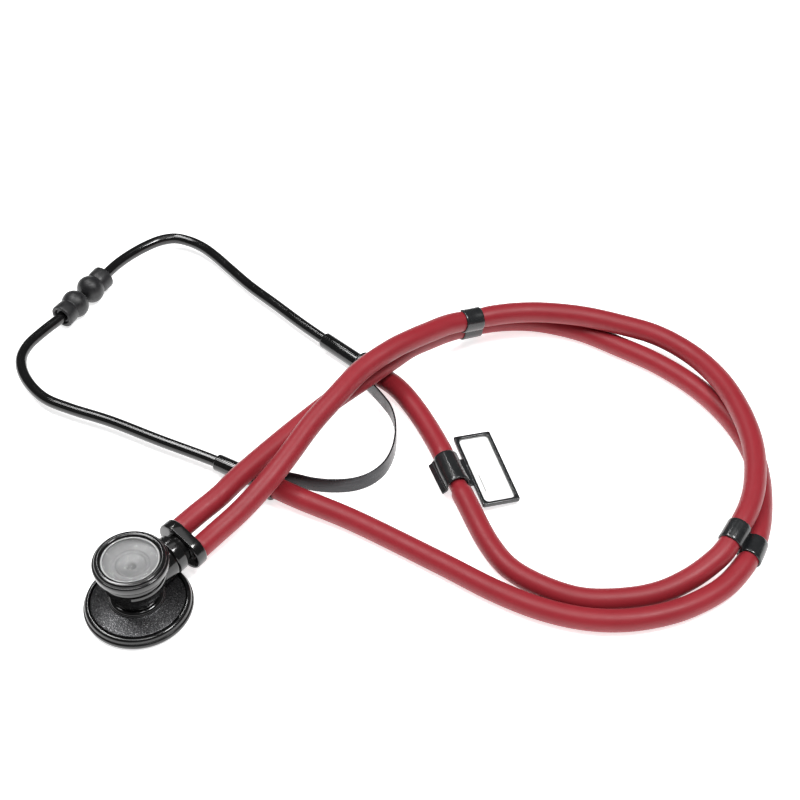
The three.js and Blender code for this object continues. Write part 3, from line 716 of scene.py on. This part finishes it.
def make_name_tag():
    """A sleeve on the right tube with a flat frame beside it, a card in the frame and its clear cover."""
    run = Vector((0.316, -0.949, 0)).normalized()
    away = Vector((-run.y, run.x, 0))
    sleeve_frame = Matrix((run, away, Vector((0, 0, 1)))).transposed().to_4x4()
    sleeve_frame.translation = Vector(TAG_CENTRE)
    slope = Matrix.Rotation(-0.056, 4, "Z") @ Matrix.Rotation(-0.087, 4, "X")
    frame_centre = (0.2, 15.4, -2.7)
    frame_matrix = sleeve_frame @ Matrix.Translation(frame_centre) @ slope
    length, width, half, border = 40.9, 16.4, 1.0, 1.6
    outer = [
        (rounded_rectangle(length - 2 * d, width - 2 * d, max(0.3, 0.9 - d)), z)
        for d, z in (
            (0.25, -half), (0.05, -half + 0.2), (0, -half + 0.35),
            (0, half - 0.35), (0.05, half - 0.2), (0.25, half),
        )
    ]
    inner = [
        (rounded_rectangle(length - 2 * (border - d), width - 2 * (border - d), 2.0 + d), z)
        for d, z in ((0.25, half), (0.05, half - 0.2), (0, half - 0.4), (0, -half + 0.45))
    ]
    vertices, faces = loft([[(x, y, z) for x, y in loop] for loop, z in outer + inner])
    parts = [(placed(vertices, frame_matrix), faces)]

    sleeve = ring_on_tube(right_path, TAG_CENTRE, away, opening=2.52, width=16.4, wall=1.0, inner=4.5)
    parts.append(sleeve)
    lip = rounded([
        (-4.5, 1.3), (-5.35, 1.5), (-6.0, 0.3), (-7.5, -0.7), (-7.3, -1.6), (-5.4, -0.6), (-4.6, 0.3),
    ], 0.35)
    web = rounded([(4.9, -2.5), (7.9, -2.6), (7.9, -1.4), (5.0, -0.9)], 0.3)
    for outline, reach in ((lip, 8.4), (web, 7.5)):
        middle = sum((Vector(pair) for pair in outline), Vector((0, 0))) / len(outline)
        loops = []
        for x, inset in ((-reach, 0.15), (0.3 - reach, 0), (reach - 0.3, 0), (reach, 0.15)):
            corners = (Vector(pair).lerp(middle, inset) for pair in outline)
            loops.append([sleeve_frame @ Vector((x, y, z)) for y, z in corners])
        parts.append(loft(loops))
    vertices, faces = joined(*parts)
    holder = add_mesh("name_tag_moulding", vertices, faces, "name_tag", plastic, sharp=50)
    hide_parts("name_tag_holder")

    def sheet(name, node, material, levels):
        """A sheet that fits the frame's opening, drawn in by an inset at each of its levels."""
        margin = border + 0.2
        loops = []
        for inset, z in levels:
            cut = 2 * (margin + inset)
            outline = rounded_rectangle(length - cut, width - cut, 1.85)
            loops.append([frame_matrix @ Vector((x, y, z - half)) for x, y in outline])
        vertices, faces = loft(loops)
        piece = add_mesh(name, vertices, faces, "name_tag", material)
        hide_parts(node)
        return piece

    card_piece = sheet("name_card_sheet", "name_card", card, ((0, 0.5), (0, 0.8)))
    cover_levels = ((0.1, 1.0), (0, 1.1), (0, 1.5), (0.25, 1.62))
    window = sheet("name_window_sheet", "name_window", window_sheet, cover_levels)

    corners = ((2.5, -4.4), (12.5, -4.4), (12.5, -3.95), (2.5, -3.95))
    loops = [[frame_matrix @ Vector((x, y, z - half)) for x, y in corners] for z in (0.79, 0.84)]
    vertices, faces = loft(loops)
    lines = add_mesh("writing_line", vertices, faces, "name_tag", grey_ink)
    return holder, card_piece, lines, window


tag_pieces = make_name_tag()


# ---- Head ----

def lathe_piece(
    name, outline, body, materials, node, paint=None, closed=True, segments=112, matrix=None, sharp=40,
):
    """A turned piece that replaces a node. paint gives the material of each place along the outline."""
    vertices, faces, rows = turned(outline, segments, closed)
    if matrix:
        vertices = placed(vertices, matrix)
    indices = [paint(row) for row in rows] if paint else None
    piece = add_mesh(name, vertices, faces, body, materials, indices, sharp)
    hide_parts(node)


def large_side():
    """The wide ring, its drum, the face-down diaphragm and its seal."""
    ring = [
        (17.9, 0), (20.9, 0), (21.7, 0.7), (22.0, 1.8), (21.8, 2.7), (21.2, 3.05),
        (21.35, 3.5), (21.1, 4.5), (20.4, 5.1), (19.5, 5.1), (19.2, 4.7), (19.2, 0.6), (17.9, 0.6),
    ]
    sizes = [0.25, 0.5, 0.5, 0.5, 0.3, 0.22, 0.22, 0.5, 0.5, 0.25, 0.2, 0.1, 0.2]
    profile = rounded(ring, sizes)
    lathe_piece("large_ring_shell", profile, "head", gloss_black, "large_diaphragm_ring", segments=144)

    drum = [
        (2, 4.9), (10, 4.4), (16.8, 3.2), (17.4, 2.4), (18.9, 2.4), (18.9, 4.75), (18.6, 4.98), (14.5, 6.05),
        (11.3, 6.85), (10.95, 7.3), (10.9, 8.1), (10.2, 8.8), (9.2, 9), (3.4, 9), (3.4, 10.1), (2, 10.1),
    ]
    sizes = [0.1, 0.3, 0.2, 0.2, 0.1, 0.15, 0.15, 0.6, 0.3, 0.25, 0.4, 0.5, 0.3, 0, 0.1, 0.1]
    profile = rounded(drum, sizes)
    speckled = {i for i, (r, z) in enumerate(profile) if 11.4 < r < 18.95 and z > 4.6}
    lathe_piece(
        "large_drum_casting", profile, "head", [gloss_black, casting], "large_drum",
        paint=lambda row: 1 if row in speckled else 0, segments=144,
    )
    sheet = [(0, 0.85), (18.7, 0.85), (18.9, 0.95), (18.9, 1.25), (18.7, 1.35), (0, 1.35)]
    lathe_piece("large_diaphragm_sheet", sheet, "head", resin, "large_diaphragm", closed=False)
    rim = rounded([(17.5, 1.6), (18.9, 1.6), (18.9, 2.1), (17.5, 2.1)], 0.15)
    lathe_piece("large_gasket_ring", rim, "head", seal_rubber, "large_gasket")


def small_side():
    """The narrow ring, the cup with its recess, the clear diaphragm and its seal."""
    ring = [
        (13.2, 24.9), (14.4, 24.9), (14.8, 25.4), (15.0, 26.6), (15.1, 27.5), (15.1, 28.3), (14.75, 28.85),
        (14.25, 28.95), (14.15, 29.4), (13.7, 30), (12.6, 30.2), (11.8, 29.9), (11.5, 29.3), (13.2, 29.3),
    ]
    sizes = [0.2, 0.3, 0.3, 0.4, 0.3, 0.3, 0.25, 0.18, 0.25, 0.4, 0.4, 0.3, 0.12, 0.1]
    profile = rounded(ring, sizes)
    lathe_piece("small_ring_shell", profile, "head", gloss_black, "small_diaphragm_ring", segments=128)

    drum = [
        (1.6, 20.4), (3.4, 20.4), (3.4, 21.2), (12.6, 21.2), (12.9, 21.5), (13.0, 22.6), (13.0, 24.4),
        (12.9, 27.3), (11.75, 27.3), (11.4, 26.7), (9.4, 26.2), (7.5, 25.9), (7.0, 26.3), (6.2, 26.3),
        (5.8, 25.7), (2.3, 25.4), (1.6, 24.9),
    ]
    sizes = [0.1, 0, 0, 0.3, 0.3, 0.6, 0.2, 0.15, 0.2, 0.4, 0.6, 0.4, 0.35, 0.35, 0.4, 0.4, 0.3]
    profile = rounded(drum, sizes)
    # Rows inside r 5.9 take the darker copy, painted shade in the recess's deeper middle.
    recess = {i: 1 if r > 5.9 else 2 for i, (r, z) in enumerate(profile) if z > 24.6 and r < 11.9}
    lathe_piece(
        "small_drum_cup", profile, "head", [gloss_black, recess_metal, recess_metal_painted_shade], "small_drum",
        paint=lambda row: recess.get(row, 0), segments=128,
    )
    sheet = [
        (0, 28.5), (12.7, 28.5), (12.9, 28.6), (12.9, 28.9), (12.7, 29), (11.45, 29), (11.35, 29.16),
        (11.05, 29.16), (10.95, 29.0), (0, 29),
    ]
    profile = rounded(sheet, 0.08, closed=False)
    # The rim's rows take the pale material, a painted highlight on the film's bead.
    highlight_rim_rows = {i for i, (r, z) in enumerate(profile) if 10.9 < r < 11.5 and z > 28.9}
    lathe_piece(
        "small_diaphragm_film", profile, "head", [clear_film, film_rim_painted_highlight], "small_diaphragm",
        paint=lambda row: 1 if row in highlight_rim_rows else 0, closed=False, segments=128,
    )
    rim = rounded([(11.8, 27.6), (12.9, 27.6), (12.9, 28.2), (11.8, 28.2)], 0.15)
    lathe_piece("small_gasket_ring", rim, "head", seal_rubber, "small_gasket")


def evaluated_copy(piece):
    """The piece's mesh with its modifiers applied, in place of the old one."""
    graph = bpy.context.evaluated_depsgraph_get()
    mesh = bpy.data.meshes.new_from_object(piece.evaluated_get(graph))
    piece.modifiers.clear()
    piece.data = mesh


def cut_with(piece, cutter, operation):
    """Joins a closed mesh to the piece or cuts it away, and removes it."""
    modifier = piece.modifiers.new("cut", "BOOLEAN")
    modifier.operation = operation
    modifier.solver = "EXACT"
    modifier.object = cutter
    evaluated_copy(piece)
    bpy.data.objects.remove(cutter)


STEM_HEIGHT = 13.6
STEM_HEADING, PLATE_ROLL = radians(49), radians(20)
STEM_TURN = Matrix.Translation((0, 0, STEM_HEIGHT)) @ Matrix.Rotation(STEM_HEADING, 4, "Z")
STEM = STEM_TURN @ Matrix.Rotation(PLATE_ROLL, 4, "X")


def hub():
    """A tapered body with a flat cut on its far side and a round boss for the stem."""
    body = [
        (0, 9.3), (9.5, 9.3), (9.75, 9.6), (10.2, 10.6), (11.4, 13.2), (12.6, 16.6), (13.1, 19.4),
        (13.1, 20.7), (12.9, 20.9), (0, 20.9),
    ]
    profile = rounded(body, [0, 0.2, 0.2, 0.8, 1, 1, 0.8, 0.1, 0.1, 0], closed=False)
    vertices, faces, _ = turned(profile, 128, False)
    piece = add_mesh("hub_body", vertices, faces, None, gloss_black)
    boss = [(0, 3), (7.9, 3), (7.9, 16.45), (7.75, 16.8), (7.4, 17), (3.5, 17), (3.5, 12), (0, 12)]
    profile = rounded(boss, [0, 0, 0.3, 0.3, 0.3, 0.15, 0, 0], closed=False)
    vertices, faces, _ = turned(profile, 96, False)
    boss_piece = add_mesh("boss", placed(vertices, STEM_TURN @ ALONG_X), faces, None, gloss_black)
    cut_with(piece, boss_piece, "UNION")
    facet_distance, far = 9.6, 30
    square = ((-far, -far), (far, -far), (far, far), (-far, far))
    vertices, faces = loft([[(x, y, z) for y, z in square] for x in (-far, -facet_distance)])
    # The cutter's lighter satin black goes onto the facet's faces, a painted reflection on the flat cut.
    facet_piece = add_mesh("facet", placed(vertices, STEM_TURN), faces, None, satin_facet_painted_light)
    flip_inside(facet_piece)
    cut_with(piece, facet_piece, "DIFFERENCE")
    over_large_drum = [(0, 0), (22.4, 0), (22.4, 4.4), (11.35, 7.2), (11.35, 9.3), (0, 9.3)]
    under_small_drum = [(0, 20.9), (13.3, 20.9), (13.3, 40), (0, 40)]
    for outline in (over_large_drum, under_small_drum):
        vertices, faces, _ = turned(outline, 96, False)
        cut_with(piece, add_mesh("clearance", vertices, faces, None, gloss_black), "DIFFERENCE")
    bevel = piece.modifiers.new("rounding", "BEVEL")
    bevel.width = 0.0009
    bevel.segments = 3
    bevel.limit_method = "ANGLE"
    bevel.angle_limit = radians(28)
    bevel.harden_normals = False
    evaluated_copy(piece)
    mesh = piece.data
    mesh.polygons.foreach_set("use_smooth", [True] * len(mesh.polygons))
    mesh.set_sharp_from_angle(angle=radians(42))
    normals = piece.modifiers.new("shading", "WEIGHTED_NORMAL")
    normals.keep_sharp = True
    normals.weight = 60
    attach(piece, "head")
    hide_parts("valve_hub")


def flip_inside(piece):
    """Turns a closed mesh's faces outwards if they point inwards."""
    mesh = piece.data
    volume = 0.0
    for polygon in mesh.polygons:
        corners = [mesh.vertices[v].co for v in polygon.vertices]
        for b, c in zip(corners[1:], corners[2:]):
            volume += corners[0].dot(b.cross(c))
    if volume < 0:
        mesh.flip_normals()


def stem():
    """The turned stem with its barrel, and the oval plate of the manifold."""
    shaft = [
        (0, -5), (2.8, -5), (3.2, -4.6), (3.2, 17.1), (7.5, 17.3), (8, 17.8), (8, 21.5), (7.6, 22.05),
        (7.0, 22.2), (6.45, 22.4), (6.4, 24.1), (0, 24.1),
    ]
    sizes = [0, 0.2, 0.2, 0.1, 0.2, 0.3, 0.4, 0.3, 0.2, 0.2, 0, 0]
    lathe_piece(
        "stem_barrel", rounded(shaft, sizes, closed=False), "stem_and_tubing", gloss_black, "valve_stem",
        closed=False, segments=96, matrix=STEM @ ALONG_X,
    )

    end_radius, half_length = 7.4, 11.3

    def station(x, inset):
        radius, reach = end_radius - inset, half_length - end_radius
        ends = []
        for sign, begin in ((1, 0), (-1, 180)):
            for i in range(33):
                a = radians(begin + 180 * i / 32)
                ends.append(STEM @ Vector((x, sign * reach + radius * sin(a), radius * cos(a))))
        return ends

    stations = [
        (24.4, 2.4), (24.4, 0.75), (24.44, 0.55), (24.55, 0.38), (24.78, 0.15), (24.95, 0.04), (25.2, 0),
        (28.6, 0), (28.9, 0.06), (29.15, 0.22), (29.33, 0.46), (29.4, 0.8), (29.4, 2.2),
    ]
    vertices, faces = loft([station(x, inset) for x, inset in stations])
    plate = add_mesh("manifold_plate", vertices, faces, "stem_and_tubing", gloss_black)
    flip_inside(plate)
    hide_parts("tube_manifold")


large_side()
small_side()
hub()
stem()


# ---- Binaurals ----

def level_frame(start, direction):
    """A frame at a point, with X along a level direction and Z up."""
    turn = Matrix.Rotation(math.atan2(direction.y, direction.x), 4, "Z")
    return Matrix.Translation(start) @ turn


TIP_MIDDLE = Vector((-39.7, 179, 6.4))
TIP_LINE = Vector((0.523, 0.852, 0)).normalized()
TIP_LENGTH = 16
LEFT_BEND = [
    (2.8, 85.2, 6), (-19.8, 97.8, 6), (-38, 106.2, 6), (-49.5, 112.8, 6.1), (-57.3, 121.8, 6.2),
    (-62, 131.3, 6.3), (-63.2, 139.5, 6.4), (-61.2, 147.2, 6.4), (-55.6, 155.8, 6.4),
]
RIGHT_BEND = [
    (61.6, 156.7, 6), (49.9, 169.8, 6), (37.8, 183.1, 6), (28, 195.6, 6), (20.4, 205.3, 6.1),
    (14.4, 211.8, 6.1), (7.9, 216.4, 6.2), (0.5, 219, 6.3), (-6.5, 217.6, 6.4), (-13.4, 213.4, 6.4),
    (-20.1, 207.6, 6.4), (-26, 200.9, 6.4),
]


def binaural(side, start, direction, bend, tip_direction):
    """An ear tube with its ferrule, its collar for the spring, its insert and its eartip."""
    body = f"{side}_binaural"
    half_gap, depth_in_tip = 0.15, 8.3
    tip = TIP_MIDDLE - tip_direction * (TIP_LENGTH + half_gap)
    inside_ferrule = [start + direction * d for d in (40.5, 20, 0)]
    route = inside_ferrule + bend + [tip, tip + tip_direction * depth_in_tip]
    path = smooth_path(route, 1.2)
    vertices, faces = sweep(path, circle(2.55, 28), (0, 0, 1))
    tube = add_mesh(f"{side}_ear_tube_bend", vertices, faces, body, deep_black, sharp=60)
    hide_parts(f"{side}_ear_tube")

    sleeve = level_frame(start, direction) @ ALONG_X
    begin = 1.2 if side == "left" else 0.0
    ferrule = [(2.65, begin), (3.3, begin), (3.7, begin + 0.4), (3.7, 30.4), (3.4, 30.7), (2.65, 30.7)]
    lathe_piece(
        f"{side}_ferrule_sleeve", rounded(ferrule, [0.1, 0.25, 0.25, 0.2, 0.2, 0]), body, deep_black,
        f"{side}_ferrule", segments=64, matrix=sleeve,
    )
    collar = [
        (4, COLLAR_START), (5.5, COLLAR_START), (5.85, 22.9), (COLLAR_RADIUS, 23.4), (COLLAR_RADIUS, 30.2),
        (5.8, 30.7), (5.4, COLLAR_END), (4, COLLAR_END),
    ]
    lathe_piece(
        f"{side}_collar_band", rounded(collar, [0, 0.25, 0.3, 0.3, 0.3, 0.3, 0.25, 0]), body, plastic,
        f"{side}_spring_collar", segments=72, matrix=sleeve,
    )

    tip_frame = level_frame(tip, tip_direction) @ ALONG_X
    insert = [(2.65, 1), (3.4, 1), (3.6, 1.25), (3.6, 8.7), (2.65, 8.7)]
    lathe_piece(
        f"{side}_insert_ring", rounded(insert, [0.15, 0.2, 0.2, 0, 0]), body, dark_steel,
        f"{side}_tip_insert", segments=48, matrix=tip_frame,
    )
    radius, dome = 6.55, 5.5
    bulb = []
    for a in range(-38, 79, 7):
        height = (dome if a > 0 else 6.2) * sin(radians(a))
        bulb.append((radius * cos(radians(a)), TIP_LENGTH - dome + height))
    profile = [
        (3.75, 0.9), (3.95, 0.25), (4.3, 0), (5.2, 0), (5.55, 0.3), (5.6, 0.9), (5.5, 4.6), (5.3, 5.6),
        (5.05, 6.2), (5.0, 6.45),
        *bulb, (1.2, TIP_LENGTH - 0.06), (0.9, TIP_LENGTH - 0.3), (0.9, 9.2), (3.75, 9.2),
    ]
    lathe_piece(
        f"{side}_eartip_bulb", profile, body, silicone, f"{side}_eartip",
        segments=96, matrix=tip_frame, sharp=55,
    )


binaural("left", LEFT_FERRULE, LEFT_DIRECTION, LEFT_BEND, TIP_LINE)
binaural("right", RIGHT_FERRULE, RIGHT_DIRECTION, RIGHT_BEND, -TIP_LINE)


# ---- Leaf spring ----

def leaf_spring():
    """The strap, in two halves that meet at the middle of its bow."""
    gap, half_thickness = 0.3, 0.4
    reach = COLLAR_RADIUS + gap + half_thickness
    near_start = 23
    left_in = Vector((-LEFT_DIRECTION.y, LEFT_DIRECTION.x, 0))
    right_in = Vector((RIGHT_DIRECTION.y, -RIGHT_DIRECTION.x, 0))
    ends = {
        "left": [LEFT_FERRULE + LEFT_DIRECTION * d + left_in * reach for d in (near_start, COLLAR_END)],
        "right": [RIGHT_FERRULE + RIGHT_DIRECTION * d + right_in * reach for d in (COLLAR_END, near_start)],
    }
    bow = [
        (62.5, 59.4), (69.5, 57), (78.2, 55.8), (86, 56.4), (92.6, 59.2), (98.4, 64.8), (102, 72.6),
        (103.6, 81), (103.7, 90), (101.8, 98.6), (97.9, 106.2), (94.2, 112.2),
    ]
    path = smooth_path(ends["left"] + [(x, y, 6) for x, y in bow] + ends["right"], 1.5)
    middle = nearest(path, (103.8, 86, 6))
    half_height = 4
    corners = [
        (-half_thickness, -half_height), (half_thickness, -half_height),
        (half_thickness, half_height), (-half_thickness, half_height),
    ]
    strap = rounded(corners, 0.28, steps=3)
    halves = (
        ("left", 0, path[: middle + 1], (62, 60, 6)),
        ("right", middle, path[middle:], (93, 113, 6)),
    )
    for side, first, part, target in halves:
        loops = []
        for i, place in enumerate(part):
            ahead = tangent(path, first + i)
            across = Vector((-ahead.y, ahead.x, 0)).normalized()
            loops.append([place + across * x + Vector((0, 0, y)) for x, y in strap])
        vertices, faces = loft(loops)
        piece = add_mesh(f"{side}_spring_half", vertices, faces, None, strap_steel, sharp=50)
        flip_inside(piece)
        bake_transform(piece)
    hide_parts("leaf_spring")


leaf_spring()


# ---- CAD nodes kept as they are ----

for node, material in (
    ("detent_ball", bright_steel), ("detent_spring", bright_steel), ("stem_snap_ring", bright_steel),
    ("left_nipple", gloss_black), ("right_nipple", gloss_black),
):
    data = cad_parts[node].data
    data.materials.clear()
    data.materials.append(material)


# ---- Stage ----

def area_light(name, place, target, size, power, size_y=None, along=(1, 0, 0)):
    """A rectangular light aimed at a point, with its first side lying along a direction."""
    data = bpy.data.lights.new(name, "AREA")
    data.shape = "RECTANGLE"
    data.size = size
    data.size_y = size_y or size
    data.energy = power
    light = bpy.data.objects.new(name, data)
    back = (Vector(place) - Vector(target)).normalized()
    side = (Vector(along) - back * back.dot(Vector(along))).normalized()
    turn = Matrix((side, back.cross(side), back)).transposed().to_4x4()
    light.matrix_world = Matrix.Translation(place) @ turn
    scene.collection.objects.link(light)


def make_stage():
    """The floor, the faint world light and the lights. Sizes and places are in metres."""
    far, floor_gap = 6, 0.0001
    mesh = bpy.data.meshes.new("studio_floor")
    mesh.from_pydata([(-far, -far, 0), (far, -far, 0), (far, far, 0), (-far, far, 0)], [], [(0, 1, 2, 3)])
    mesh.materials.append(floor_paper())
    floor = bpy.data.objects.new("studio_floor", mesh)
    floor.location = (0, 0, cad_box[0][2] - floor_gap)
    scene.collection.objects.link(floor)

    world = bpy.data.worlds.new("studio")
    world.use_nodes = True
    background = world.node_tree.nodes["Background"]
    background.inputs["Color"].default_value = (1, 1, 1, 1)
    background.inputs["Strength"].default_value = 0.12
    scene.world = world

    middle = (0.1, 0.08, 0)
    head, film = (0, 0, 0.02), (0, 0, 0.029)
    ear_tubes = (-0.02, 0.13, 0)
    area_light(
        "key_strip", (-0.2, -0.1, 1.15), ear_tubes, size=1.3, power=8, size_y=0.13, along=(0.8, -0.6, 0),
    )
    area_light("back_left_softbox", (-0.35, 0.5, 1.2), head, size=0.32, power=6)
    area_light("film_glint", (-0.24, 1.03, 1.25), film, size=0.09, power=0.9)
    area_light("right_glint", (0.6, -0.1, 1.15), head, size=0.3, power=10)
    area_light("overhead_softbox", (0.1, 0.3, 1.3), middle, size=0.9, power=2.2, size_y=0.6)
    scene.view_settings.view_transform = "Standard"


make_stage()
